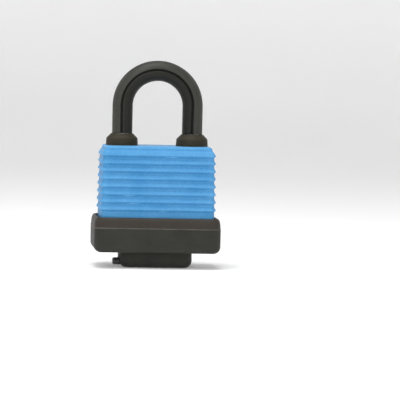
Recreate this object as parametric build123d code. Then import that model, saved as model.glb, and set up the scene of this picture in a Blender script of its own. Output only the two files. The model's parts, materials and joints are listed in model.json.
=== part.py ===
from build123d import *
import math
import os

# Laminated 40 mm padlock in a ribbed weather jacket: sleeved shackle, pin tumbler cylinder, two
# sliding latches and a keyhole cover that swings aside. Millimetres, +Z up along the shackle legs,
# front at -Y, origin in the middle of the underside. At rest the shackle is pressed home and the
# plug is turned to open, so the latches are drawn in; turning the plug 90 degrees locks it.

# Lock body: a stack of equal steel plates.
PACK_W, PACK_D, PACK_R = 40.0, 22.6, 3.0
PLATE_T = 2.25
PLATE_COUNT = 16
FIT = 0.1                      # general clearance between a moulding and what it covers

# Weather jacket.
VALLEY_W, VALLEY_D, VALLEY_R = 42.2, 24.8, 2.0
VALLEY_Z = 31.0                # height where the jacket has that outline
DRAFT = 0.02                   # how far each side leans in for each unit of height
RIB_H = 0.65                   # how far a rib stands out of the jacket
RIB_COUNT = 8
RIB_PITCH = 2.9
RIB_TOP_Z = 42.7               # height of the highest rib's ridge
RIB_RISE, RIB_FALL = 1.1, 0.9  # heights of a rib's upper and lower sides
SHOULDER_Z = (43.5, 44.5)      # between these the wall steps in above the highest rib
SHOULDER_IN = 0.7
SHOULDER_ROUND = 0.9
JACKET_TOP_Z = 45.8
JACKET_WALL_TOP = 1.9
JACKET_LOW_Z = 8.8

# Base cover.
BASE_W, BASE_D, BASE_R = 47.8, 30.0, 3.4
BASE_Z = 6.0
BASE_FLOOR = 1.8
BAND_Z = 15.1                  # height where the wall starts to lean in
RIM_Z = 19.2
RIM_INSET = 0.55
POCKET_W, POCKET_D, POCKET_R = 44.1, 26.1, 2.4
BASE_BOTTOM_ROUND = 2.6

# Keyhole cover.
COVER_W, COVER_D, COVER_R = 27.6, 17.0, 4.6
COVER_WALL = 1.6
COVER_FLOOR = 1.4
COVER_GAP = 0.1
COVER_ROUND = 2.7
TAB_OUT, TAB_W, TAB_Y = 2.4, 5.4, -2.2
TAB_LOW_Z, TAB_HIGH_Z = 0.8, 3.5
PIVOT_X, PIVOT_Y = 9.2, 4.4
PIVOT_R = 1.3
PIVOT_HEAD_R, PIVOT_HEAD_T = 2.1, 0.75

# Shackle.
LEG_X = 13.25                  # half the distance between the legs
ARCH_Z = 60.8                  # centre of the arch
STEEL_R = 3.175
SLEEVE_R = 3.875
SLIT_W = 0.9
BORE_R = 3.25
TOE_END_Z = 37.1
HEEL_END_Z = 22.6
LIFT = 13.5

# Boots where the legs enter the jacket.
BOOT_LOW_R, BOOT_EDGE_R, BOOT_TOP_R = 6.1, 5.85, 4.15
BOOT_EDGE_Z, BOOT_TOP_Z = 48.6, 50.3
SPIGOT_R = 4.6

# Cylinder.
PLUG_R = 4.75
PLUG_PLAY = 0.07
PLUG_FRONT_Z, PLUG_BACK_Z = 7.0, 31.6
FLANGE_R = 5.7
HOUSING_R = 6.8
TOWER_W, TOWER_Y = 5.4, 9.6    # the block of pin chambers behind the plug
HOUSING_TOP_Z = 28.0
KEYWAY_W = 1.9
CLIP_Z, CLIP_T = 28.15, 0.6
PIN_R = 1.15
PIN_COUNT, PIN_PITCH, PIN_FIRST_Z = 5, 3.1, 12.9
KEY_PIN_LENGTHS = (3.3, 2.6, 3.5, 2.9, 3.1)
DRIVER_END_Y = 6.9
STRIP_T = 0.4
OPEN_TURN = 90                 # the resting plug has been turned this far from locked

# Cam and latches.
CAM_R = 3.4
CAM_SHAFT_R = 2.4
CAM_PIN_R, CAM_PIN_ORBIT = 0.7, 1.9
TONGUE_W, TONGUE_L = 1.7, 6.0
LATCH_PLAY = 0.1
LATCH_ARM_Y = 3.8
LATCH_GAP = 0.2                # each latch arm stays this far from the middle plane
LATCH_TIP_W = 5.2
LATCH_TRAVEL = CAM_PIN_ORBIT * math.sqrt(2)
TOE_BITE = 2.2                 # how deep the locked right latch reaches into the toe leg
HEEL_HOLD = 0.6                # how deep the drawn-in left latch still holds the heel leg

RIVET_R, RIVET_HEAD_R, RIVET_HEAD_T = 1.5, 2.3, 0.8
RIVET_X, RIVET_Y = 16.4, 7.9

# Heights worked out from the stack.
PACK_Z = BASE_Z + BASE_FLOOR
PLATE_Z = [PACK_Z + PLATE_T * i for i in range(PLATE_COUNT + 1)]
PACK_TOP_Z = PLATE_Z[PLATE_COUNT]
LATCH_I, CAM_I, SHAFT_I, CLIP_I = 14, 13, 11, 9
LATCH_Z = PLATE_Z[LATCH_I]
NOTCH_LOW_Z, NOTCH_HIGH_Z = LATCH_Z - 0.3, LATCH_Z + PLATE_T + 0.35
LEG_INNER_X = LEG_X - STEEL_R
TOE_TIP_X = LEG_INNER_X + TOE_BITE - LATCH_TRAVEL
HEEL_TIP_X = LEG_INNER_X + HEEL_HOLD


def rounded(width, depth, radius, low, high, x=0, y=0):
    """An upright block with rounded vertical corners."""
    face = Plane.XY.offset(low) * Pos(x, y) * RectangleRounded(width, depth, radius)
    return extrude(face, high - low)


def rod(x, y, radius, low, high):
    return Pos(x, y, low) * Cylinder(radius, high - low, align=(Align.CENTER, Align.CENTER, Align.MIN))


def block(x0, x1, y0, y1, z0, z1):
    return Pos(x0, y0, z0) * Box(x1 - x0, y1 - y0, z1 - z0, align=(Align.MIN,) * 3)


def frustum(low_size, high_size, low, high):
    """A block whose rounded outline changes evenly from one height to another."""
    low_face = Plane.XY.offset(low) * RectangleRounded(*low_size)
    high_face = Plane.XY.offset(high) * RectangleRounded(*high_size)
    return loft([low_face, high_face], ruled=True)


def grown(size, by):
    """A rounded outline's width, depth and corner radius, moved out on every side."""
    return size[0] + 2 * by, size[1] + 2 * by, size[2] + by


# ---------------------------------------------------------------- mouldings

def jacket_outline(z, out=0):
    """The jacket's leaning wall at a height, moved out on every side."""
    return grown((VALLEY_W, VALLEY_D, VALLEY_R), out + DRAFT * (VALLEY_Z - z))


def make_jacket():
    step_low_z, step_high_z = SHOULDER_Z
    inset = jacket_outline(step_high_z, -SHOULDER_IN)
    shell = rounded(*inset, step_high_z, JACKET_TOP_Z)
    shell = fillet(shell.edges().group_by(Axis.Z)[-1], SHOULDER_ROUND)
    shell += frustum(jacket_outline(step_low_z), inset, step_low_z, step_high_z)
    shell += frustum(jacket_outline(JACKET_LOW_Z), jacket_outline(step_low_z), JACKET_LOW_Z, step_low_z)
    for k in range(RIB_COUNT):
        ridge_z = RIB_TOP_Z - k * RIB_PITCH
        high_z, low_z = ridge_z + RIB_RISE, ridge_z - RIB_FALL
        ridge = jacket_outline(ridge_z, RIB_H)
        shell += frustum(ridge, jacket_outline(high_z, -0.02), ridge_z, high_z)
        shell += frustum(jacket_outline(low_z, -0.02), ridge, low_z, ridge_z)
    inside = (PACK_W + 2 * FIT, PACK_D + 2 * FIT, PACK_R + FIT)
    shell -= rounded(*inside, JACKET_LOW_Z - 1, JACKET_TOP_Z - JACKET_WALL_TOP)
    for side in (-1, 1):
        shell -= rod(side * LEG_X, 0, SPIGOT_R + FIT / 2, PACK_TOP_Z - 1, JACKET_TOP_Z + 1)
    return shell


def make_base_cover():
    size = (BASE_W, BASE_D, BASE_R)
    lower = rounded(*size, BASE_Z, BAND_Z)
    lower = fillet(lower.edges().group_by(Axis.Z)[0], BASE_BOTTOM_ROUND)
    upper = frustum(grown(size, -0.12), grown(size, -RIM_INSET), BAND_Z, RIM_Z)
    upper = fillet(upper.edges().group_by(Axis.Z)[-1], 0.9)
    cup = lower + upper
    cup -= rounded(POCKET_W, POCKET_D, POCKET_R, PACK_Z, RIM_Z + 1)
    cup -= rod(0, 0, FLANGE_R + 0.4, BASE_Z - 1, PACK_Z + 1)
    cup -= rod(PIVOT_X, PIVOT_Y, PIVOT_R, BASE_Z - 1, PACK_Z + 1)
    return cup


def make_keyhole_cover():
    top = BASE_Z - COVER_GAP
    cap = rounded(COVER_W, COVER_D, COVER_R, 0, top)
    cap = fillet(cap.edges().group_by(Axis.Z)[0], COVER_ROUND)
    hollow = grown((COVER_W, COVER_D, COVER_R), -COVER_WALL)
    cap -= rounded(*hollow, COVER_FLOOR, top + 1)
    cap += rod(PIVOT_X, PIVOT_Y, PIVOT_HEAD_R + 0.9, COVER_FLOOR - 0.2, top)
    cap -= rod(PIVOT_X, PIVOT_Y, PIVOT_R + 0.06, -1, top + 1)
    cap -= rod(PIVOT_X, PIVOT_Y, PIVOT_HEAD_R + 0.15, -1, 0.45 + PIVOT_HEAD_T + 0.05)
    tab_x = -COVER_W / 2
    tab = block(tab_x - TAB_OUT, tab_x + 0.8, TAB_Y - TAB_W / 2, TAB_Y + TAB_W / 2, TAB_LOW_Z, TAB_HIGH_Z)
    outer_edges = tab.edges().filter_by(Axis.Y).group_by(Axis.X)[0]
    tab = fillet(outer_edges, 0.9)
    tab = fillet(tab.edges().filter_by(Axis.Z).group_by(Axis.X)[0], 0.8)
    return cap + tab


def make_cover_pivot():
    head = rod(PIVOT_X, PIVOT_Y, PIVOT_HEAD_R, 0.45, 0.45 + PIVOT_HEAD_T)
    head = chamfer(head.edges().group_by(Axis.Z)[0], 0.3)
    return head + rod(PIVOT_X, PIVOT_Y, PIVOT_R, 0.45 + PIVOT_HEAD_T, PACK_Z - 0.1)


def make_boot(side):
    """A collar that seals a shackle hole: a spigot in the jacket under a wide cone."""
    points = [(BORE_R, PACK_TOP_Z), (SPIGOT_R, PACK_TOP_Z), (SPIGOT_R, JACKET_TOP_Z),
              (BOOT_LOW_R, JACKET_TOP_Z), (BOOT_EDGE_R, BOOT_EDGE_Z),
              (BOOT_TOP_R, BOOT_TOP_Z), (BORE_R, BOOT_TOP_Z)]
    profile = Plane.XZ * make_face(Polyline(*points, close=True))
    return Pos(side * LEG_X, 0) * revolve(profile, Axis.Z)


# ---------------------------------------------------------------- shackle

def arch_and_legs(section, left_end_z, right_end_z):
    """A cross-section carried round the arch and straight down both legs."""
    start = Plane.XY.offset(ARCH_Z) * Pos(LEG_X, 0) * section
    arch = revolve(start, Axis((0, 0, ARCH_Z), (0, -1, 0)), 180)
    right = Plane.XY.offset(right_end_z) * Pos(LEG_X, 0) * section
    left = Plane.XY.offset(left_end_z) * Pos(-LEG_X, 0) * section
    return arch + extrude(right, ARCH_Z - right_end_z) + extrude(left, ARCH_Z - left_end_z)


def inner_notch(side, depth, low, high):
    """The block that cuts a leg's inner side to a flat between two heights."""
    flat_x = LEG_INNER_X + depth
    x0, x1 = sorted((side * (LEG_INNER_X - 1), side * flat_x))
    return block(x0, x1, -STEEL_R - 1, STEEL_R + 1, low, high)


def make_shackle():
    bar = arch_and_legs(Circle(STEEL_R), HEEL_END_Z, TOE_END_Z)
    bar -= inner_notch(1, TOE_BITE + 0.3, NOTCH_LOW_Z, NOTCH_HIGH_Z)
    heel_bite = HEEL_HOLD + LATCH_TRAVEL + 0.3
    raised_low, raised_high = NOTCH_LOW_Z - LIFT, NOTCH_HIGH_Z - LIFT
    bar -= inner_notch(-1, heel_bite, NOTCH_LOW_Z, NOTCH_HIGH_Z)
    bar -= inner_notch(-1, heel_bite, raised_low, raised_high)
    bar -= inner_notch(-1, HEEL_HOLD + 0.5, raised_high - 0.1, NOTCH_LOW_Z + 0.1)
    ends = [e for e in bar.edges().filter_by(GeomType.CIRCLE)
            if min(abs(e.center().Z - HEEL_END_Z), abs(e.center().Z - TOE_END_Z)) < 0.01]
    return chamfer(ends, 0.6)


def make_sleeve():
    """A vinyl tube over the bar above the boots, slit along its front."""
    ring = Circle(SLEEVE_R) - Circle(STEEL_R + 0.04)
    tube = arch_and_legs(ring, BOOT_TOP_Z + 0.05, BOOT_TOP_Z + 0.05)
    half = SLIT_W / 2
    outline = Circle(LEG_X + half) - Circle(LEG_X - half)
    outline -= Pos(0, -LEG_X) * Rectangle(3 * LEG_X, 2 * LEG_X)
    strip = Pos(0, 0, ARCH_Z) * extrude(Plane.XZ * outline, SLEEVE_R + 1)
    for side in (-1, 1):
        x = side * LEG_X
        strip += block(x - half, x + half, -SLEEVE_R - 1, 0, BOOT_TOP_Z - 1, ARCH_Z)
    inner_side = block(-30, 30, -STEEL_R + 0.6, 1, BOOT_TOP_Z - 2, 90)
    return tube - (strip - inner_side)


def make_shackle_spring():
    wire, coil_r, turns = 0.4, 2.35, 7
    low = PLATE_Z[1] + wire
    height = HEEL_END_Z - wire - low
    path = Helix(pitch=height / turns, height=height, radius=coil_r)
    coil = sweep(Plane(path @ 0, z_dir=path % 0) * Circle(wire), path, is_frenet=True)
    return Pos(-LEG_X, 0, low) * coil


# ---------------------------------------------------------------- plates

def plate_opening(i):
    """What is cut out of the middle of plate i, and None where it is plain."""
    low, high = PLATE_Z[i] - 1, PLATE_Z[i + 1] + 1
    if i == 0:
        return rod(0, 0, FLANGE_R + 0.2, low, high)
    if i < CLIP_I:
        half = TOWER_W / 2 + FIT
        tower = block(-half, half, 0, TOWER_Y + FIT, low, high)
        return rod(0, 0, HOUSING_R + FIT, low, high) + tower
    if i < SHAFT_I:
        return rod(0, 0, HOUSING_R + FIT, low, high)
    if i < CAM_I:
        return rod(0, 0, CAM_SHAFT_R + 0.3, low, high)
    if i == CAM_I:
        return rod(0, 0, CAM_R + 0.3, low, high)
    if i == LATCH_I:
        middle = block(-9, 9, -LATCH_ARM_Y - 0.2, LATCH_ARM_Y + 0.2, low, high)
        tip_half = LATCH_TIP_W / 2 + 0.2
        return middle + block(-LEG_X, LEG_X, -tip_half, tip_half, low, high)
    return None


def make_plate(i):
    low, high = PLATE_Z[i], PLATE_Z[i + 1]
    plate = rounded(PACK_W, PACK_D, PACK_R, low, high)
    opening = plate_opening(i)
    if opening is not None:
        plate -= opening
    if i > 0:
        plate -= rod(-LEG_X, 0, BORE_R, low - 1, high + 1)
    if high > TOE_END_Z - PLATE_T:
        plate -= rod(LEG_X, 0, BORE_R, low - 1, high + 1)
    return plate - make_rivets()


def make_rivets():
    rivets = []
    for sx in (-1, 1):
        for sy in (-1, 1):
            x, y = sx * RIVET_X, sy * RIVET_Y
            shank = rod(x, y, RIVET_R, PACK_Z, PACK_TOP_Z)
            low = Cone(RIVET_HEAD_R, RIVET_R, RIVET_HEAD_T, align=(Align.CENTER, Align.CENTER, Align.MIN))
            high = Cone(RIVET_R, RIVET_HEAD_R, RIVET_HEAD_T, align=(Align.CENTER, Align.CENTER, Align.MAX))
            rivets.append(shank + Pos(x, y, PACK_Z) * low + Pos(x, y, PACK_TOP_Z) * high)
    return Compound(children=rivets)


def plate_name(i):
    if i == 0:
        return "bottom_plate"
    if i < CLIP_I:
        return f"cylinder_plate_{i}"
    if i < SHAFT_I:
        return f"clip_plate_{i - CLIP_I + 1}"
    if i < CAM_I:
        return f"shaft_plate_{i - SHAFT_I + 1}"
    return {CAM_I: "cam_plate", LATCH_I: "latch_plate"}.get(i, "top_plate")


# ---------------------------------------------------------------- cylinder

def pin_rod(z, y0, y1, radius):
    """A round bar along Y, as a pin or its chamber."""
    face = Plane(origin=(0, y0, z), z_dir=(0, 1, 0)) * Circle(radius)
    return extrude(face, y1 - y0)


def pin_heights():
    return [PIN_FIRST_Z + k * PIN_PITCH for k in range(PIN_COUNT)]


def make_housing():
    low = PLATE_Z[1]
    half = TOWER_W / 2
    body = rod(0, 0, HOUSING_R, low, HOUSING_TOP_Z)
    body += block(-half, half, 0, TOWER_Y, low, HOUSING_TOP_Z)
    body -= rod(0, 0, PLUG_R + PLUG_PLAY, low - 1, HOUSING_TOP_Z + 1)
    for z in pin_heights():
        body -= pin_rod(z, PLUG_R - 1, TOWER_Y + 1, PIN_R + 0.05)
    first, last = pin_heights()[0] - 1.6, pin_heights()[-1] + 1.6
    return body - block(-PIN_R - 0.3, PIN_R + 0.3, TOWER_Y - STRIP_T, TOWER_Y + 1, first, last)


def make_chamber_strip():
    """The thin strip that closes the tops of the pin chambers."""
    first, last = pin_heights()[0] - 1.6, pin_heights()[-1] + 1.6
    return block(-PIN_R - 0.3, PIN_R + 0.3, TOWER_Y - STRIP_T, TOWER_Y, first, last)


def make_driver_pins():
    clear = rod(0, 0, PLUG_R + PLUG_PLAY + 0.03, 0, 40)
    return Compound(children=[pin_rod(z, PLUG_R - 1, DRIVER_END_Y, PIN_R) - clear for z in pin_heights()])


def make_pin_springs():
    wire, turns = 0.17, 4
    start = DRIVER_END_Y + wire
    height = TOWER_Y - STRIP_T - wire - start
    path = Helix(pitch=height / turns, height=height, radius=PIN_R - 0.3)
    coil = sweep(Plane(path @ 0, z_dir=path % 0) * Circle(wire), path, is_frenet=True)
    upright = Rot(-90, 0, 0) * coil
    return Compound(children=[Pos(0, start, z) * upright for z in pin_heights()])


def turned(shape):
    """Turn a piece of the plug from its locked place to its resting, open place."""
    return Rot(0, 0, OPEN_TURN) * shape


def make_plug():
    body = rod(0, 0, PLUG_R, PLUG_FRONT_Z, PLUG_BACK_Z)
    body += rod(0, 0, FLANGE_R, PLUG_FRONT_Z, PLATE_Z[1] - 0.05)
    front_edge = body.edges().filter_by(GeomType.CIRCLE).group_by(Axis.Z)[0]
    body = chamfer(front_edge, 0.4)
    keyway_top = 2.6
    key_low, key_high = PLUG_FRONT_Z - 1, CLIP_Z - 0.8
    half = KEYWAY_W / 2
    body -= block(-half, half, -PLUG_R + 0.6, keyway_top, key_low, key_high)
    body += block(half - 0.55, half + 0.1, -2.9, -1.7, PLUG_FRONT_Z, key_high)
    body += block(-half - 0.1, -half + 0.55, -0.5, 0.7, PLUG_FRONT_Z, key_high)
    for z in pin_heights():
        body -= pin_rod(z, 0, PLUG_R + 1, PIN_R + 0.05)
    groove = rod(0, 0, PLUG_R + 1, CLIP_Z - 0.05, CLIP_Z + CLIP_T + 0.05)
    body -= groove - rod(0, 0, PLUG_R - 0.9, 0, 40)
    half_slot, slot_l = TONGUE_W / 2 + 0.05, TONGUE_L / 2 + 0.05
    body -= block(-slot_l, slot_l, -half_slot, half_slot, PLUG_BACK_Z - 2, PLUG_BACK_Z + 1)
    return turned(body)


def make_key_pins():
    """Pins of uneven length, each with its outer end at the plug's surface."""
    inside = rod(0, 0, PLUG_R - 0.03, 0, 40)
    pins = []
    for z, length in zip(pin_heights(), KEY_PIN_LENGTHS):
        pins.append(turned(pin_rod(z, PLUG_R - length, PLUG_R + 1, PIN_R) & inside))
    return Compound(children=pins)


def make_plug_clip():
    ring = rod(0, 0, PLUG_R + 1.3, CLIP_Z, CLIP_Z + CLIP_T) - rod(0, 0, PLUG_R - 0.85, 0, 40)
    gap = block(-2.4, 2.4, 0, PLUG_R + 2, 0, 40)
    return turned(ring - gap)


def make_cam():
    """The tail of the plug: a tongue, a shaft, and a disc with two pins for the latches."""
    disc_low, disc_high = PLATE_Z[CAM_I] + 0.1, PLATE_Z[LATCH_I] - 0.1
    tail = rod(0, 0, CAM_R, disc_low, disc_high)
    tail += rod(0, 0, CAM_SHAFT_R, PLUG_BACK_Z + 0.05, disc_low)
    tongue = block(-TONGUE_L / 2, TONGUE_L / 2, -TONGUE_W / 2, TONGUE_W / 2,
                   PLUG_BACK_Z - 1.9, PLUG_BACK_Z + 0.3)
    tail += tongue & rod(0, 0, PLUG_R - 0.3, 0, 40)
    tail = turned(tail)
    reach = CAM_PIN_ORBIT / math.sqrt(2)
    for side in (-1, 1):
        tail += rod(-side * reach, side * reach, CAM_PIN_R, disc_high, LATCH_Z + PLATE_T - 0.15)
    return tail


def make_latch(side):
    """A bolt whose arm is forked round one cam pin; the left one is the right one turned round."""
    low, high = LATCH_Z + LATCH_PLAY, LATCH_Z + PLATE_T - LATCH_PLAY
    tip_x = TOE_TIP_X if side > 0 else HEEL_TIP_X
    body_x, arm_end_x = 5.0, -3.3
    fork_x = CAM_PIN_ORBIT / math.sqrt(2)
    fork_half = CAM_PIN_R + 0.2
    bolt = block(body_x, tip_x, -LATCH_TIP_W / 2, LATCH_TIP_W / 2, low, high)
    bolt += block(arm_end_x, body_x + 1, LATCH_GAP, LATCH_ARM_Y, low, high)
    bolt -= block(-fork_x - fork_half, -fork_x + fork_half, -1, CAM_PIN_ORBIT + fork_half + 0.15,
                  low - 1, high + 1)
    return bolt if side > 0 else Rot(0, 0, 180) * bolt


# ---------------------------------------------------------------- everything

def all_parts():
    parts = {
        "shackle": make_shackle(),
        "shackle_sleeve": make_sleeve(),
        "left_boot": make_boot(-1),
        "right_boot": make_boot(1),
        "jacket": make_jacket(),
        "base_cover": make_base_cover(),
        "keyhole_cover": make_keyhole_cover(),
        "cover_pivot": make_cover_pivot(),
        "body_rivets": make_rivets(),
        "cylinder_housing": make_housing(),
        "chamber_strip": make_chamber_strip(),
        "driver_pins": make_driver_pins(),
        "pin_springs": make_pin_springs(),
        "cylinder_plug": make_plug(),
        "key_pins": make_key_pins(),
        "plug_clip": make_plug_clip(),
        "cam": make_cam(),
        "left_latch": make_latch(-1),
        "right_latch": make_latch(1),
        "shackle_spring": make_shackle_spring(),
    }
    for i in range(PLATE_COUNT):
        parts[plate_name(i)] = make_plate(i)
    return parts


os.makedirs("parts", exist_ok=True)
for name, shape in all_parts().items():
    export_step(shape, f"parts/{name}.step")
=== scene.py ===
import json
import math

import bmesh
import bpy
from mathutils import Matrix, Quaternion, Vector, noise


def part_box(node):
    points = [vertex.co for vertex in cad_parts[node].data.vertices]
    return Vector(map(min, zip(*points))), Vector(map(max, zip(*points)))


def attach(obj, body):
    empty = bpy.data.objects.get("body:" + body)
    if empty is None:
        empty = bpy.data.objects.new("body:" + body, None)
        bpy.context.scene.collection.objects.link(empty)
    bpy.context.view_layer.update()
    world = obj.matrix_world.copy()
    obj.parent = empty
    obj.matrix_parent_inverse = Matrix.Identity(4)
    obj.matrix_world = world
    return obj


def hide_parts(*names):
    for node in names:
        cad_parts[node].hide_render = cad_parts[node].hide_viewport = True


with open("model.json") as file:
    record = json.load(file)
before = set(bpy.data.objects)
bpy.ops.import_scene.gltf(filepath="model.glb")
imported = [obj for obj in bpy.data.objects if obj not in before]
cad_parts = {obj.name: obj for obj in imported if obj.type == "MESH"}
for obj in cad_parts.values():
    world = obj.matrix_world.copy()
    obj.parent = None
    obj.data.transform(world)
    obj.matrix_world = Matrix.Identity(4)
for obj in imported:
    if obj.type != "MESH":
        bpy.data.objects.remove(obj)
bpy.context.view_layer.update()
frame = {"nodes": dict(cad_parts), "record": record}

# Lengths are in millimetres until a mesh is made. +Z is up and the front faces -Y.
MM = 0.001


def box_mm(node):
    low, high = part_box(node)
    return low / MM, high / MM


# Driving dimensions, worked out from the frame.
JACKET_LOW, JACKET_HIGH = box_mm("jacket")
BASE_LOW, BASE_HIGH = box_mm("base_cover")
COVER_LOW, COVER_HIGH = box_mm("keyhole_cover")
PIVOT_LOW, PIVOT_HIGH = box_mm("cover_pivot")
BOOT_LOW, BOOT_HIGH = box_mm("right_boot")
SLEEVE_LOW, SLEEVE_HIGH = box_mm("shackle_sleeve")
PACK_Z = box_mm("bottom_plate")[0].z
PACK_TOP_Z = box_mm("top_plate")[1].z
LEG_X = (BOOT_LOW.x + BOOT_HIGH.x) / 2
PIVOT = Vector(((PIVOT_LOW.x + PIVOT_HIGH.x) / 2, (PIVOT_LOW.y + PIVOT_HIGH.y) / 2, 0))

# Jacket.
JACKET_CORNER = 2.2
WALL_LEAN = 0.02               # how far each side leans in for each unit of height
RIB_COUNT = 8
RIB_PITCH = 2.9
RIB_BELOW_TOP = 3.1            # from the jacket's top to its highest ridge
RIB_OUT = 0.65
RIB_SHAPE = (                  # out from the wall, up from the ridge, softness
    (-0.02, -0.85, 0.22), (0.5, -0.42, 0.22), (RIB_OUT - 0.02, -0.05, 0.22), (0.34, 0.45, 0.4),
    (-0.02, 1.05, 0.4))
SHOULDER_IN = 0.7              # the plain band above the ribs is set in
SHOULDER_UP = 1.75             # from the highest ridge to where that band starts
SHOULDER_ROUND = 0.9
LOWEST_RIDGE_Z = JACKET_HIGH.z - RIB_BELOW_TOP - (RIB_COUNT - 1) * RIB_PITCH
JACKET_HALF_W = JACKET_HIGH.x - RIB_OUT          # bare wall at the lowest ridge
JACKET_HALF_D = JACKET_HIGH.y - RIB_OUT
CAVITY_IN = 1.2
CEILING_Z = PACK_TOP_Z + 0.1
SPIGOT_R = 4.65

# Base cup.
BASE_CORNER = 3.4
BAND_Z = 15.1
BASE_UNDER_ROUND = 2.6
BASE_WALL = 1.9
PLUG_HOLE_R = 6.1
PIVOT_HOLE_R = 1.3

# Keyhole cover.
COVER_CORNER = 4.6
COVER_WALL = 1.6
COVER_FLOOR = 1.4
COVER_UNDER_ROUND = 2.7
COVER_BOSS_R = 3.0
COVER_INSET = -0.03            # from the CAD cover's side
COVER_HALF_W = COVER_HIGH.x
TAB_Y = -2.2
TAB_Z = 2.15
TAB_HALF_W, TAB_HALF_H = 2.6, 1.29
TAB_ROOT_IN = 0.7              # from the cover's side to the tab's root
TAB_SMOOTH = 0.9               # from the root to the first grip ridge
TAB_END = 0.75                 # length of the rounded end
RIDGE_HEIGHT, RIDGE_PITCH = 0.09, 0.95

# Boots.
BOOT_BORE_R = 3.3
BOOT_LIP_R = 3.95              # round the sleeve's foot

# Shackle and its sleeve.
STEEL_R = 3.215
SLEEVE_R = SLEEVE_HIGH.x - LEG_X
ARCH_Z = SLEEVE_HIGH.z - SLEEVE_HIGH.x
SLIT_HALF = 0.46
SLIT_WEB = 0.12                # thin lips that meet over the steel at the bottom of the slit
SLEEVE_STEPS = 88              # round the outside, and again round the inside
LIP_POINTS = 20                # in each lip of the slit
LIP_DEEP = 14                  # the last of them that is still down inside it
SLIT_TWIST = 7                 # degrees: the slit lies outward on the left leg and inward on the right
SLIT_RISE = 5                  # degrees outward at the top of the arch

CORNER_STEPS, LONG_STEPS, SHORT_STEPS = 10, 36, 20
LATHE_STEPS = 96


# ---------------------------------------------------------------- mesh helpers

def softened(points, steps=4):
    """A profile of (out, height, softness) points with each inner corner turned into a curve."""
    path = [Vector(points[0][:2])]
    for before, corner, after in zip(points, points[1:], points[2:]):
        middle = Vector(corner[:2])
        back, ahead = Vector(before[:2]) - middle, Vector(after[:2]) - middle
        start = middle + back.normalized() * min(corner[2], back.length * 0.49)
        end = middle + ahead.normalized() * min(corner[2], ahead.length * 0.49)
        for k in range(steps + 1):
            t = k / steps
            path.append(start.lerp(middle, t).lerp(middle.lerp(end, t), t))
    path.append(Vector(points[-1][:2]))
    return path


def rounded_outline(half_w, half_d, corner):
    """A rounded rectangle round the origin, always with the same number of points."""
    points = []
    for quarter, side_steps in enumerate((LONG_STEPS, SHORT_STEPS) * 2):
        sx, sy = ((1, 1), (-1, 1), (-1, -1), (1, -1))[quarter]
        centre = Vector((sx * (half_w - corner), sy * (half_d - corner), 0))
        for k in range(CORNER_STEPS + 1):
            angle = math.pi / 2 * (quarter + k / CORNER_STEPS)
            points.append(centre + corner * Vector((math.cos(angle), math.sin(angle), 0)))
        along = (2 * (half_w - corner), 2 * (half_d - corner))[quarter % 2]
        direction = Vector((-math.sin(angle), math.cos(angle), 0))
        last = points[-1]
        for k in range(1, side_steps):
            points.append(last + direction * (along * k / side_steps))
    return points


def circle(centre, radius, steps=LATHE_STEPS):
    turn = 2 * math.pi / steps
    return [centre + radius * Vector((math.cos(k * turn), math.sin(k * turn), 0)) for k in range(steps)]


def ring_verts(bm, points):
    return [bm.verts.new(p * MM) for p in points]


def bridge(bm, first, second):
    count = len(first)
    for i in range(count):
        j = (i + 1) % count
        bm.faces.new((first[i], first[j], second[j], second[i]))


def skin(bm, rings):
    """Joins rings of points, one after another, and returns the first and last ring of vertices."""
    made = [ring_verts(bm, r) for r in rings]
    for first, second in zip(made, made[1:]):
        bridge(bm, first, second)
    return made[0], made[-1]


def outline_skin(bm, profile, half_w, half_d, corner):
    """A wall whose outline moves in and out with height, as the profile says."""
    rings = []
    for out, z in profile:
        outline = rounded_outline(half_w + out, half_d + out, max(corner + out, 0.3))
        rings.append([p + Vector((0, 0, z)) for p in outline])
    return skin(bm, rings)


def lathe_skin(bm, profile, centre):
    rings = [circle(centre + Vector((0, 0, z)), r) for r, z in profile]
    return skin(bm, rings)


def flat_face(bm, loops):
    """Fills the flat space between an outer loop and the loops inside it."""
    edges = []
    for loop in loops:
        for a, b in zip(loop, loop[1:] + loop[:1]):
            edges.append(bm.edges.get((a, b)))
    bmesh.ops.triangle_fill(bm, use_beauty=True, use_dissolve=False, edges=edges)


def uneven(bm, amount, spread):
    """Moves the surface in and out a little, as a moulding that has shrunk."""
    for v in bm.verts:
        v.co += noise.noise_vector(v.co / (spread * MM)) * amount * MM


def piece_from(bm, name, material, sharp=38):
    bmesh.ops.recalc_face_normals(bm, faces=bm.faces)
    mesh = bpy.data.meshes.new(name)
    bm.to_mesh(mesh)
    bm.free()
    mesh.polygons.foreach_set("use_smooth", [True] * len(mesh.polygons))
    mesh.set_sharp_from_angle(angle=math.radians(sharp))
    mesh.materials.append(material)
    piece = bpy.data.objects.new(name, mesh)
    bpy.context.scene.collection.objects.link(piece)
    return piece


def stand_in(piece, node, body):
    """Shows a piece in place of a CAD node, riding on its body."""
    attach(piece, body)
    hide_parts(node)


def quarter_round(out, z, radius, way_in=1, steps=8):
    """A wall's end rounded from its side to its flat: at its lower end, or with way_in -1 at its upper."""
    points = []
    for k in range(1, steps + 1):
        angle = math.pi / 2 * k / steps
        inward, along = radius * (1 - math.cos(angle)), radius * (1 - math.sin(angle))
        points.append(Vector((out - inward, z + way_in * along)))
    return points


# ---------------------------------------------------------------- materials

OUTER_EDGE = 0.503, 0.54       # pointiness where an edge or a crease begins, and where it is full
CREASE = 0.497, 0.46


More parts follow.
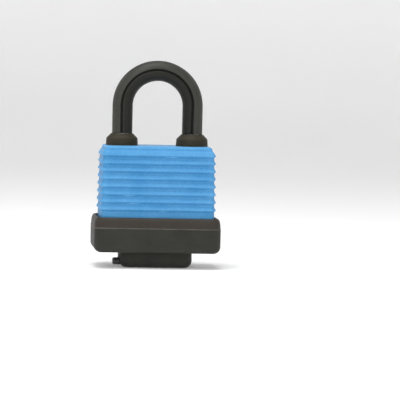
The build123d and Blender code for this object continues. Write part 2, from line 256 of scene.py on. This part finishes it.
class Shader:
    """A material's nodes: each call makes one and links what it is given."""

    def __init__(self, name):
        self.material = bpy.data.materials.new(name)
        self.material.use_nodes = True
        self.tree = self.material.node_tree
        self.surface = self.tree.nodes["Principled BSDF"]
        self.place = self.tree.nodes.new("ShaderNodeTexCoord").outputs["Object"]

    def link(self, value, socket):
        if isinstance(value, bpy.types.NodeSocket):
            self.tree.links.new(value, socket)
        else:
            socket.default_value = value

    def stretched(self, scale):
        mapping = self.tree.nodes.new("ShaderNodeMapping")
        self.link(self.place, mapping.inputs["Vector"])
        mapping.inputs["Scale"].default_value = scale
        return mapping.outputs["Vector"]

    def noise(self, size_mm, detail=3.0, roughness=0.55, at=None):
        node = self.tree.nodes.new("ShaderNodeTexNoise")
        self.link(at or self.place, node.inputs["Vector"])
        node.inputs["Scale"].default_value = 1 / (size_mm * MM)
        node.inputs["Detail"].default_value = detail
        node.inputs["Roughness"].default_value = roughness
        return node.outputs["Fac"]

    def cells(self, size_mm):
        node = self.tree.nodes.new("ShaderNodeTexVoronoi")
        self.link(self.place, node.inputs["Vector"])
        node.inputs["Scale"].default_value = 1 / (size_mm * MM)
        return node.outputs["Distance"]

    def ramp(self, value, low, high, out_low=0.0, out_high=1.0):
        """A value carried evenly from one range to another, and held at its ends."""
        node = self.tree.nodes.new("ShaderNodeMapRange")
        self.link(value, node.inputs["Value"])
        limits = {"From Min": low, "From Max": high, "To Min": out_low, "To Max": out_high}
        for name, number in limits.items():
            node.inputs[name].default_value = number
        return node.outputs["Result"]

    def math(self, operation, a, b=0.0):
        node = self.tree.nodes.new("ShaderNodeMath")
        node.operation = operation
        self.link(a, node.inputs[0])
        self.link(b, node.inputs[1])
        return node.outputs[0]

    def mix(self, amount, a, b):
        node = self.tree.nodes.new("ShaderNodeMix")
        node.data_type = "RGBA"
        self.link(amount, node.inputs["Factor"])
        self.link(a if isinstance(a, bpy.types.NodeSocket) else (*a, 1), node.inputs["A"])
        self.link(b if isinstance(b, bpy.types.NodeSocket) else (*b, 1), node.inputs["B"])
        return node.outputs["Result"]

    def pointiness(self, flat, full):
        """0 where the surface is flat, up to 1 on the edges or in the creases that the two limits name."""
        geometry = self.tree.nodes.new("ShaderNodeNewGeometry")
        return self.ramp(geometry.outputs["Pointiness"], flat, full)

    def along(self, axis):
        node = self.tree.nodes.new("ShaderNodeSeparateXYZ")
        self.link(self.place, node.inputs[0])
        return node.outputs[axis]

    def bump(self, height, depth_mm, strength=1.0, below=None):
        node = self.tree.nodes.new("ShaderNodeBump")
        node.inputs["Strength"].default_value = strength
        node.inputs["Distance"].default_value = depth_mm * MM
        self.link(height, node.inputs["Height"])
        if below is not None:
            self.link(below, node.inputs["Normal"])
        return node.outputs["Normal"]

    def set(self, **sockets):
        for name, value in sockets.items():
            self.link(value, self.surface.inputs[name.replace("_", " ")])
        return self.material


def moulded(name, colour, light, dark, rough, grain_mm=0.22, grain_depth=0.02, specular=0.5, edge=0.5):
    """Moulded plastic or rubber: spark-eroded grain, edges lightened as part rubbed wear and part painted
    highlight, painted shade in creases, cloudy colour.
    """
    s = Shader(name)
    cloud = s.ramp(s.noise(9.0, 4.0), 0.3, 0.7)
    fleck = s.ramp(s.noise(0.7, 2.0), 0.35, 0.65)
    body = s.mix(s.math("MULTIPLY", cloud, 0.45), colour, light)
    body = s.mix(s.math("MULTIPLY", fleck, 0.22), body, dark)
    # Edges and ridges are lightened towards the light colour: partly rubbed wear, partly painted
    # highlight.
    edge_wear_and_highlight = s.math("MULTIPLY", s.pointiness(*OUTER_EDGE), s.ramp(s.noise(2.5, 5.0), 0.3, 0.62, 0.35, 1.0))
    body = s.mix(s.math("MULTIPLY", edge_wear_and_highlight, edge), body, light)
    # Creases and grooves are darkened towards the dark colour: painted shade.
    body = s.mix(s.pointiness(*CREASE), body, dark)
    grain = s.noise(grain_mm, 2.0)
    normal = s.bump(grain, grain_depth)
    normal = s.bump(s.noise(6.0, 2.0), 0.12, 0.35, normal)
    scuffs = s.noise(0.8, 3.0, 0.6, s.stretched((0.25, 1.0, 1.0)))
    gloss = s.ramp(scuffs, 0.3, 0.7, rough - 0.07, rough + 0.09)
    s.surface.inputs["Specular IOR Level"].default_value = specular
    return s, body, gloss, normal


def make_jacket_material():
    # The ribs' ridges get strong painted highlight and their creases painted shade.
    s, body, gloss, normal = moulded(
        "jacket_blue", colour=(0.060, 0.272, 0.54), light=(0.135, 0.385, 0.68), dark=(0.010, 0.125, 0.34),
        rough=0.5, specular=0.18, edge=0.9)
    return s.set(Base_Color=body, Roughness=gloss, Normal=normal)


def make_base_material():
    s, body, gloss, normal = moulded(
        "base_black", colour=(0.0185, 0.0195, 0.0145), light=(0.038, 0.0375, 0.031),
        dark=(0.0115, 0.012, 0.009), rough=0.55, grain_mm=0.3, grain_depth=0.03, specular=0.25)
    # The band under the rim is browner, and the bead along its foot gets a patchy pale line of painted
    # highlight.
    band = s.ramp(s.along("Z"), (BAND_Z - 0.2) * MM, (BAND_Z + 0.4) * MM)
    body = s.mix(s.math("MULTIPLY", band, 0.6), body, (0.040, 0.030, 0.023))
    from_bead = s.math("ABSOLUTE", s.math("SUBTRACT", s.along("Z"), (BAND_Z + 0.08) * MM))
    highlight_patches = s.ramp(s.noise(3.5, 4.0), 0.3, 0.62, 0.25, 0.9)
    # Painted highlight: a thin pale line along the bead, broken up by noise.
    bead_highlight = s.math("MULTIPLY", s.ramp(from_bead, 0.24 * MM, 0.1 * MM), highlight_patches)
    body = s.mix(bead_highlight, body, (0.10, 0.092, 0.078))
    return s.set(Base_Color=body, Roughness=gloss, Normal=normal)


def make_tab_material():
    s, body, gloss, normal = moulded(
        "tab_polished", colour=(0.016, 0.016, 0.016), light=(0.03, 0.03, 0.03), dark=(0.01, 0.01, 0.01),
        rough=0.25, grain_mm=0.3, grain_depth=0.008)
    return s.set(Base_Color=body, Roughness=gloss, Normal=normal)


def make_boot_material():
    s, body, gloss, normal = moulded(
        "boot_rubber", colour=(0.026, 0.0215, 0.0105), light=(0.052, 0.047, 0.035),
        dark=(0.016, 0.012, 0.006), rough=0.6, grain_mm=0.25, grain_depth=0.025, specular=0.18)
    return s.set(Base_Color=body, Roughness=gloss, Normal=normal)


def make_sleeve_material():
    """Extruded vinyl: satin, with a soft mottle, and painted shade on its inner side."""
    s, body, gloss, normal = moulded(
        "sleeve_vinyl", colour=(0.030, 0.031, 0.0255), light=(0.056, 0.056, 0.049),
        dark=(0.016, 0.0155, 0.0115), rough=0.5, grain_mm=0.35, grain_depth=0.02, specular=0.25)
    # How far each point is from the shackle's middle: across on the legs, and from its centre on the arch.
    x, rise = s.along("X"), s.math("MAXIMUM", s.math("SUBTRACT", s.along("Z"), ARCH_Z * MM), 0.0)
    from_middle = s.math("SQRT", s.math("ADD", s.math("MULTIPLY", x, x), s.math("MULTIPLY", rise, rise)))
    # Painted shade: the side facing the shackle's middle is darkened towards near-black.
    inner_side_shade = s.ramp(from_middle, (LEG_X + 0.7) * MM, (LEG_X - 0.5) * MM)
    body = s.mix(s.math("MULTIPLY", inner_side_shade, 0.9), body, (0.008, 0.008, 0.005))
    return s.set(Base_Color=body, Roughness=gloss, Normal=normal)


def make_slit_shade_material():
    """The cut faces of the slit, painted near-black as shade."""
    s, body, gloss, normal = moulded(
        "slit_painted_shade", colour=(0.006, 0.006, 0.005), light=(0.012, 0.012, 0.01), dark=(0.003, 0.003, 0.0025),
        rough=0.75, grain_mm=0.3, grain_depth=0.02, specular=0.15)
    return s.set(Base_Color=body, Roughness=gloss, Normal=normal)


def metal(name, colour, dark, rough, spread=0.1, lines=(1, 1, 12), line_mm=1.2, depth=0.004, patina=0.35):
    """Bare or plated metal: drawn lines, a cloudy film and small pits."""
    s = Shader(name)
    film = s.ramp(s.noise(4.0, 5.0), 0.35, 0.7)
    pits = s.ramp(s.cells(0.9), 0.0, 0.12, 1.0, 0.0)
    body = s.mix(s.math("MULTIPLY", film, patina), colour, dark)
    body = s.mix(s.math("MULTIPLY", pits, 0.4), body, dark)
    drawn = s.noise(line_mm, 4.0, 0.6, s.stretched(lines))
    gloss = s.ramp(drawn, 0.3, 0.7, max(rough - spread, 0.03), rough + spread)
    normal = s.bump(drawn, depth)
    return s.set(Base_Color=body, Metallic=1.0, Roughness=gloss, Normal=normal)


def make_turned_brass():
    """Turned brass with fine rings round its axis and tarnish in patches."""
    s = Shader("brass")
    tarnish = s.ramp(s.noise(3.0, 6.0), 0.42, 0.72)
    body = s.mix(s.math("MULTIPLY", tarnish, 0.6), (0.78, 0.57, 0.25), (0.42, 0.27, 0.10))
    wave = s.tree.nodes.new("ShaderNodeTexWave")
    wave.wave_type = "RINGS"
    wave.rings_direction = "Z"
    wave.inputs["Scale"].default_value = 900
    wave.inputs["Distortion"].default_value = 1.5
    s.link(s.place, wave.inputs["Vector"])
    gloss = s.ramp(s.noise(1.2, 4.0), 0.3, 0.7, 0.22, 0.42)
    normal = s.bump(wave.outputs["Fac"], 0.004)
    return s.set(Base_Color=body, Metallic=1.0, Roughness=gloss, Normal=normal)


MATERIALS = {
    "jacket_plastic": make_jacket_material(),
    "base_plastic": make_base_material(),
    "boot_rubber": make_boot_material(),
    "sleeve_vinyl": make_sleeve_material(),
    "shackle_steel": metal("bright_plate", (0.74, 0.75, 0.77), (0.55, 0.55, 0.56), 0.16, 0.08),
    "plate_steel": metal("zinc_plate", (0.60, 0.61, 0.63), (0.42, 0.42, 0.43), 0.36, 0.12, (1, 12, 1)),
    "rivet_steel": metal("rivet_steel", (0.58, 0.58, 0.60), (0.36, 0.35, 0.34), 0.34, 0.1),
    "pivot_steel": metal(
        "pivot_steel", (0.56, 0.56, 0.57), (0.33, 0.32, 0.31), 0.32, lines=(1, 1, 1), line_mm=0.6),
    "spring_steel": metal("spring_steel", (0.55, 0.55, 0.56), (0.30, 0.28, 0.27), 0.28, 0.1),
    "latch_steel": metal("latch_steel", (0.46, 0.45, 0.45), (0.26, 0.25, 0.25), 0.38, 0.12, (10, 1, 1)),
    "brass": make_turned_brass(),
}
TAB_MATERIAL = make_tab_material()
SLIT_SHADE_MATERIAL = make_slit_shade_material()


# ---------------------------------------------------------------- jacket

def jacket_wall(z):
    """How far out the bare wall is at this height, from where it is at the lowest ridge."""
    return WALL_LEAN * (LOWEST_RIDGE_Z - z)


def jacket_profile():
    low, high = JACKET_LOW.z, JACKET_HIGH.z
    inner = -CAVITY_IN
    top_out = jacket_wall(high) - SHOULDER_IN
    points = [(inner, CEILING_Z, 0), (inner, low + 0.01, 0.3), (jacket_wall(low), low, 0.3)]
    for k in range(RIB_COUNT):
        ridge_z = LOWEST_RIDGE_Z + k * RIB_PITCH
        for out, up, softness in RIB_SHAPE:
            points.append((jacket_wall(ridge_z) + out, ridge_z + up, softness))
    points += [(top_out + 0.12, ridge_z + SHOULDER_UP, 0.5), (top_out, high - SHOULDER_ROUND, 0)]
    return softened(points) + quarter_round(top_out, high, SHOULDER_ROUND, -1)


def make_jacket():
    bm = bmesh.new()
    ceiling, top = outline_skin(bm, jacket_profile(), JACKET_HALF_W, JACKET_HALF_D, JACKET_CORNER)
    upper, lower = [], []
    for side in (-1, 1):
        hole = [(SPIGOT_R, CEILING_Z), (SPIGOT_R, JACKET_HIGH.z - 0.2), (SPIGOT_R + 0.2, JACKET_HIGH.z)]
        first, last = lathe_skin(bm, hole, Vector((side * LEG_X, 0, 0)))
        lower.append(first)
        upper.append(last)
    flat_face(bm, [ceiling] + lower)
    flat_face(bm, [top] + upper)
    uneven(bm, 0.035, 7.0)
    piece = piece_from(bm, "ribbed_jacket", MATERIALS["jacket_plastic"])
    stand_in(piece, "jacket", "lock_body")


# ---------------------------------------------------------------- base cup

def base_profile():
    rim = BASE_HIGH.z
    low = BASE_LOW.z
    wall = -0.1
    bead = -0.05
    points = [
        (-BASE_WALL, PACK_Z, 0), (-BASE_WALL, rim - 0.2, 0.3), (-1.5, rim, 0.4), (-0.8, rim - 0.35, 0.6),
        (-0.32, rim - 1.6, 1.2), (-0.2, BAND_Z + 0.35, 0.15), (bead, BAND_Z + 0.18, 0.05),
        (bead, BAND_Z - 0.05, 0.05), (wall, BAND_Z - 0.22, 0.1), (wall, low + BASE_UNDER_ROUND, 0)]
    return softened(points) + quarter_round(wall, low, BASE_UNDER_ROUND)


def make_base():
    bm = bmesh.new()
    low = BASE_LOW.z
    floor, under = outline_skin(bm, base_profile(), BASE_HIGH.x, BASE_HIGH.y, BASE_CORNER)
    plug_hole = softened([
        (PLUG_HOLE_R, PACK_Z, 0), (PLUG_HOLE_R, low, 0.35), (PLUG_HOLE_R + 0.5, low, 0)])
    pivot_hole = [(PIVOT_HOLE_R, PACK_Z), (PIVOT_HOLE_R, low)]
    plug_top, plug_low = lathe_skin(bm, plug_hole, Vector())
    pivot_top, pivot_low = lathe_skin(bm, pivot_hole, PIVOT)
    flat_face(bm, [floor, plug_top, pivot_top])
    flat_face(bm, [under, plug_low, pivot_low])
    uneven(bm, 0.03, 9.0)
    piece = piece_from(bm, "base_cup", MATERIALS["base_plastic"])
    stand_in(piece, "base_cover", "lock_body")


# ---------------------------------------------------------------- keyhole cover

def make_cover_shell():
    bm = bmesh.new()
    top = COVER_HIGH.z
    points = [(-COVER_WALL, COVER_FLOOR, 0), (-COVER_WALL, top, 0.25), (COVER_INSET, top, 0.35),
              (COVER_INSET, COVER_UNDER_ROUND, 0)]
    profile = softened(points) + quarter_round(COVER_INSET, 0, COVER_UNDER_ROUND)
    floor, under = outline_skin(bm, profile, COVER_HALF_W, COVER_HIGH.y, COVER_CORNER)
    bore = 1.38
    counterbore, shelf_z = 2.28, PIVOT_LOW.z + 0.85
    boss = softened([(COVER_BOSS_R, COVER_FLOOR, 0), (COVER_BOSS_R, top, 0.25), (bore, top, 0.15),
                     (bore, shelf_z, 0.05), (counterbore, shelf_z, 0.05), (counterbore, 0.0, 0.25),
                     (counterbore + 0.4, 0, 0)])
    boss_root, counterbore_edge = lathe_skin(bm, boss, PIVOT)
    flat_face(bm, [floor, boss_root])
    flat_face(bm, [under, counterbore_edge])
    return piece_from(bm, "keyhole_cap", MATERIALS["base_plastic"])


def make_tab():
    """A thumb tab with two grip ridges, its root inside the cover's wall."""
    bm = bmesh.new()
    root_x = -COVER_HALF_W + TAB_ROOT_IN
    length = root_x - COVER_LOW.x
    rings = []
    steps, points_round = 40, 64
    for k in range(steps + 1):
        along = k / steps * length
        ridge = 0
        if TAB_SMOOTH < along < length - 0.45:
            ridge = RIDGE_HEIGHT * math.sin(2 * math.pi * (along - TAB_SMOOTH) / RIDGE_PITCH)
        end = min(1.0, (length - along) / TAB_END)
        shrink = 0.62 * (1 - math.sqrt(max(0.0, 1 - (1 - end) ** 2)))
        half_z = TAB_HALF_H + ridge - shrink
        half_y = TAB_HALF_W + ridge - shrink
        ring = []
        for a in range(points_round):
            angle = 2 * math.pi * a / points_round
            c, s = math.cos(angle), math.sin(angle)
            y = half_y * math.copysign(abs(c) ** 0.42, c)
            z = half_z * math.copysign(abs(s) ** 0.55, s)
            ring.append(Vector((root_x - along, TAB_Y + y, TAB_Z + z)))
        rings.append(ring)
    first, last = skin(bm, rings)
    bm.faces.new(first)
    bm.faces.new(last)
    return piece_from(bm, "tab_shape", TAB_MATERIAL)


def unite(piece, other):
    """Joins two closed pieces into one surface, keeping both materials."""
    piece.data.materials.append(other.data.materials[0])
    modifier = piece.modifiers.new("union", "BOOLEAN")
    modifier.operation = "UNION"
    modifier.solver = "EXACT"
    modifier.material_mode = "TRANSFER"
    modifier.object = other
    bpy.context.view_layer.update()
    united = bpy.data.meshes.new_from_object(piece.evaluated_get(bpy.context.evaluated_depsgraph_get()))
    piece.modifiers.clear()
    piece.data = united
    bpy.data.objects.remove(other)


def make_keyhole_cover():
    piece = make_cover_shell()
    unite(piece, make_tab())
    stand_in(piece, "keyhole_cover", "keyhole_cover")


def make_pivot():
    """The rivet: a low head with a shallow dimple, sunk in the cover's underside, and its shank."""
    bm = bmesh.new()
    head_low = PIVOT_LOW.z
    head_r = PIVOT_HIGH.x - PIVOT.x
    shank_r, head_top = 1.25, head_low + 0.75
    profile = softened([
        (0.35, head_low + 0.1, 0), (0.75, head_low + 0.08, 0.2), (1.05, head_low, 0.15),
        (1.5, head_low + 0.05, 0.3), (head_r, head_low + 0.4, 0.2), (head_r, head_top, 0.1),
        (shank_r, head_top, 0.05), (shank_r, PIVOT_HIGH.z, 0)])
    low, high = lathe_skin(bm, profile, PIVOT)
    bm.faces.new(low)
    bm.faces.new(high)
    piece = piece_from(bm, "pivot_rivet", MATERIALS["pivot_steel"])
    stand_in(piece, "cover_pivot", "lock_body")


# ---------------------------------------------------------------- boots

def make_boot(side, name):
    bm = bmesh.new()
    low, high = JACKET_HIGH.z, BOOT_HIGH.z
    foot_r = BOOT_HIGH.x - LEG_X
    neck_r = SPIGOT_R - 0.06
    profile = softened([
        (BOOT_BORE_R, PACK_TOP_Z, 0), (neck_r, PACK_TOP_Z, 0.1), (neck_r, low + 0.02, 0.05),
        (foot_r, low + 0.02, 0.12), (foot_r - 0.04, low + 0.4, 0.2), (foot_r - 0.22, high - 1.75, 0.32),
        (foot_r - 1.95, high - 0.05, 0.3), (BOOT_LIP_R + 0.03, high, 0.1), (BOOT_LIP_R, high - 0.35, 0.1),
        (BOOT_BORE_R, high - 0.4, 0.08), (BOOT_BORE_R, PACK_TOP_Z + 0.01, 0)], 5)
    first, last = lathe_skin(bm, profile, Vector((side * LEG_X, 0, 0)))
    bridge(bm, last, first)
    uneven(bm, 0.05, 5.0)
    piece = piece_from(bm, name + "_collar", MATERIALS["boot_rubber"])
    stand_in(piece, name, "lock_body")


# ---------------------------------------------------------------- sleeve

def sleeve_section(inset=0.0):
    """The slit tube's outline, as (towards the front, away from the arch's middle).

    It goes up one lip of the slit, round the outside, down the other lip and round the inside."""
    outer, inner = SLEEVE_R - 0.035 - inset, STEEL_R + 0.01 + inset
    lip = inner + SLIT_WEB
    steps = SLEEVE_STEPS
    gap = math.asin(SLIT_HALF / outer)
    corner = outer * Vector((math.cos(gap), math.sin(gap)))
    beside = gap + 0.12
    half = [(0, inner, 0), (0, lip, 0.02), (SLIT_HALF - 0.08, lip + 0.03, 0.1), (corner.y, corner.x, 0.3)]
    half.append((outer * math.sin(beside), outer * math.cos(beside), 0))
    lips = [Vector((y, x)) for x, y in softened(half, 5)]
    points = lips[:]
    for k in range(1, steps):
        angle = beside + (2 * math.pi - 2 * beside) * k / steps
        points.append(outer * Vector((math.cos(angle), math.sin(angle))))
    points += [Vector((p.x, -p.y)) for p in reversed(lips)]
    for k in range(1, steps):
        angle = -2 * math.pi * k / steps
        points.append(inner * Vector((math.cos(angle), math.sin(angle))))
    return points


def sleeve_stations():
    """Places along the sleeve, from the left leg's foot round the arch: centre, outward way, share."""
    leg_steps, arch_steps = 14, 96
    leg = ARCH_Z - SLEEVE_LOW.z
    total = 2 * leg + math.pi * LEG_X
    stations = []
    for k in range(leg_steps):
        along = leg * k / leg_steps
        stations.append((Vector((-LEG_X, 0, SLEEVE_LOW.z + along)), Vector((-1, 0, 0)), along / total))
    for k in range(arch_steps + 1):
        angle = math.pi * (1 - k / arch_steps)
        out = Vector((math.cos(angle), 0, math.sin(angle)))
        share = (leg + LEG_X * math.pi * k / arch_steps) / total
        stations.append((Vector((0, 0, ARCH_Z)) + out * LEG_X, out, share))
    for k in range(1, leg_steps + 1):
        along = leg * k / leg_steps
        share = 1 - (leg - along) / total
        stations.append((Vector((LEG_X, 0, ARCH_Z - along)), Vector((1, 0, 0)), share))
    return stations


def darken_slit(mesh, around):
    """Gives the slit's walls the near-black painted-shade material, down from where each lip turns over.
    """
    last = 2 * LIP_POINTS + SLEEVE_STEPS - 2
    for polygon in mesh.polygons:
        columns = [v % around for v in polygon.vertices]
        on_first_lip = max(columns) <= LIP_DEEP
        on_second_lip = max(columns) <= last and last - min(columns) <= LIP_DEEP
        if len(columns) == 4 and (on_first_lip or on_second_lip):
            polygon.material_index = 1


def make_sleeve():
    bm = bmesh.new()
    front = Vector((0, -1, 0))
    plain, drawn_in = sleeve_section(), sleeve_section(0.1)
    stations = sleeve_stations()
    foot_left, foot_right = stations[0], stations[-1]
    up = Vector((0, 0, 0.12))
    stations = [foot_left, (foot_left[0] + up, *foot_left[1:])] + stations[1:-1] \
        + [(foot_right[0] + up, *foot_right[1:]), foot_right]
    rings = []
    for i, (centre, out, share) in enumerate(stations):
        section = drawn_in if i in (0, len(stations) - 1) else plain
        swing = math.pi * share
        twist = math.radians(SLIT_TWIST * math.cos(swing) + SLIT_RISE * math.sin(swing))
        ahead, away = math.cos(twist), math.sin(twist)
        ring = []
        for f, o in section:
            ring.append(centre + front * (f * ahead - o * away) + out * (f * away + o * ahead))
        rings.append(ring)
    first, last = skin(bm, rings)
    bm.faces.new(first)
    bm.faces.new(last)
    uneven(bm, 0.03, 6.0)
    piece = piece_from(bm, "vinyl_sleeve", MATERIALS["sleeve_vinyl"], 50)
    # The slit's walls take a near-black material: painted shade.
    piece.data.materials.append(SLIT_SHADE_MATERIAL)
    darken_slit(piece.data, len(plain))
    stand_in(piece, "shackle_sleeve", "shackle")


# ---------------------------------------------------------------- carried-over parts

def dress_nodes():
    for part in frame["record"]["subparts"]:
        node = frame["nodes"][part["node"]]
        for holder in node.material_slots:
            holder.material = MATERIALS[part["material_slot"]]


# ---------------------------------------------------------------- stage, light and camera

STAGE_R, STAGE_H, STAGE_CURVE = 1.6, 1.5, 0.7


def make_stage():
    """A pale floor that curves up all round, so no horizon shows."""
    s = Shader("stage_pale")
    cloud = s.ramp(s.noise(160.0, 2.0), 0.3, 0.7)
    s.set(Base_Color=s.mix(cloud, (0.86, 0.86, 0.86), (0.885, 0.885, 0.885)), Roughness=0.9,
          Emission_Color=(1, 1, 1, 1), Emission_Strength=s.ramp(s.along("Z"), 0.02, 0.25, 0.16, 0.36))
    bm = bmesh.new()
    profile = [Vector((0.02, 0.0)), Vector((0.3, 0.0)), Vector((STAGE_R - STAGE_CURVE, 0.0))]
    for k in range(1, 13):
        angle = math.pi / 2 * k / 12
        profile.append(Vector((STAGE_R - STAGE_CURVE + STAGE_CURVE * math.sin(angle),
                               STAGE_CURVE * (1 - math.cos(angle)))))
    profile.append(Vector((STAGE_R, STAGE_H)))
    rings = [circle(Vector((0, 0, z / MM)), r / MM, 64) for r, z in profile]
    middle = skin(bm, rings)[0]
    bm.faces.new(middle)
    piece_from(bm, "stage_floor", s.material)


def softbox(name, place, target, size, energy):
    data = bpy.data.lights.new(name, "AREA")
    data.shape = "SQUARE"
    data.size = size
    data.energy = energy
    lamp = bpy.data.objects.new(name, data)
    lamp.location = place
    lamp.rotation_mode = "QUATERNION"
    lamp.rotation_quaternion = (Vector(target) - Vector(place)).to_track_quat("-Z", "Y")
    bpy.context.scene.collection.objects.link(lamp)


def make_lights():
    middle = (0, 0, 0.035)
    softbox("key_light", (-0.3, -0.6, 0.55), middle, 0.4, 1.55)
    softbox("top_light", (-0.08, -0.12, 0.7), middle, 0.35, 3.5)
    softbox("fill_light", (0.45, -0.55, 0.35), middle, 0.4, 0.3)
    world = bpy.data.worlds.new("studio")
    world.use_nodes = True
    background = world.node_tree.nodes["Background"]
    background.inputs["Color"].default_value = (1, 1, 1, 1)
    background.inputs["Strength"].default_value = 0.17
    bpy.context.scene.world = world
    bpy.context.scene.view_settings.view_transform = "Standard"


CAMERA_AZIMUTH, CAMERA_ELEVATION = -4.5, 2.42      # degrees; left of straight ahead and a little above
CAMERA_DISTANCE = 1.0
CAMERA_LENS = 238
CAMERA_ROLL = 1.22             # degrees; the padlock leans to the right
AIM_RIGHT, AIM_DOWN = 0.944, 0.730
AIM_HEIGHT = 38.0              # height on the padlock's middle line that those two are measured from


def make_camera():
    data = bpy.data.cameras.new("camera")
    data.lens = CAMERA_LENS
    data.sensor_width = 36
    camera = bpy.data.objects.new("camera", data)
    azimuth, elevation = math.radians(CAMERA_AZIMUTH), math.radians(CAMERA_ELEVATION)
    inward = Vector((-math.sin(azimuth) * math.cos(elevation), math.cos(azimuth) * math.cos(elevation),
                     -math.sin(elevation)))
    camera.location = Vector((0, 0, AIM_HEIGHT * MM)) - inward * CAMERA_DISTANCE
    level = inward.to_track_quat("-Z", "Y")
    roll = Quaternion((0, 0, 1), math.radians(CAMERA_ROLL))
    right = Quaternion((0, 1, 0), -math.radians(AIM_RIGHT))
    down = Quaternion((1, 0, 0), -math.radians(AIM_DOWN))
    camera.rotation_mode = "QUATERNION"
    camera.rotation_quaternion = level @ roll @ right @ down
    data.clip_start = 0.01
    bpy.context.scene.collection.objects.link(camera)
    bpy.context.scene.camera = camera


dress_nodes()
make_jacket()
make_base()
make_keyhole_cover()
make_pivot()
make_boot(-1, "left_boot")
make_boot(1, "right_boot")
make_sleeve()
make_stage()
make_lights()
make_camera()
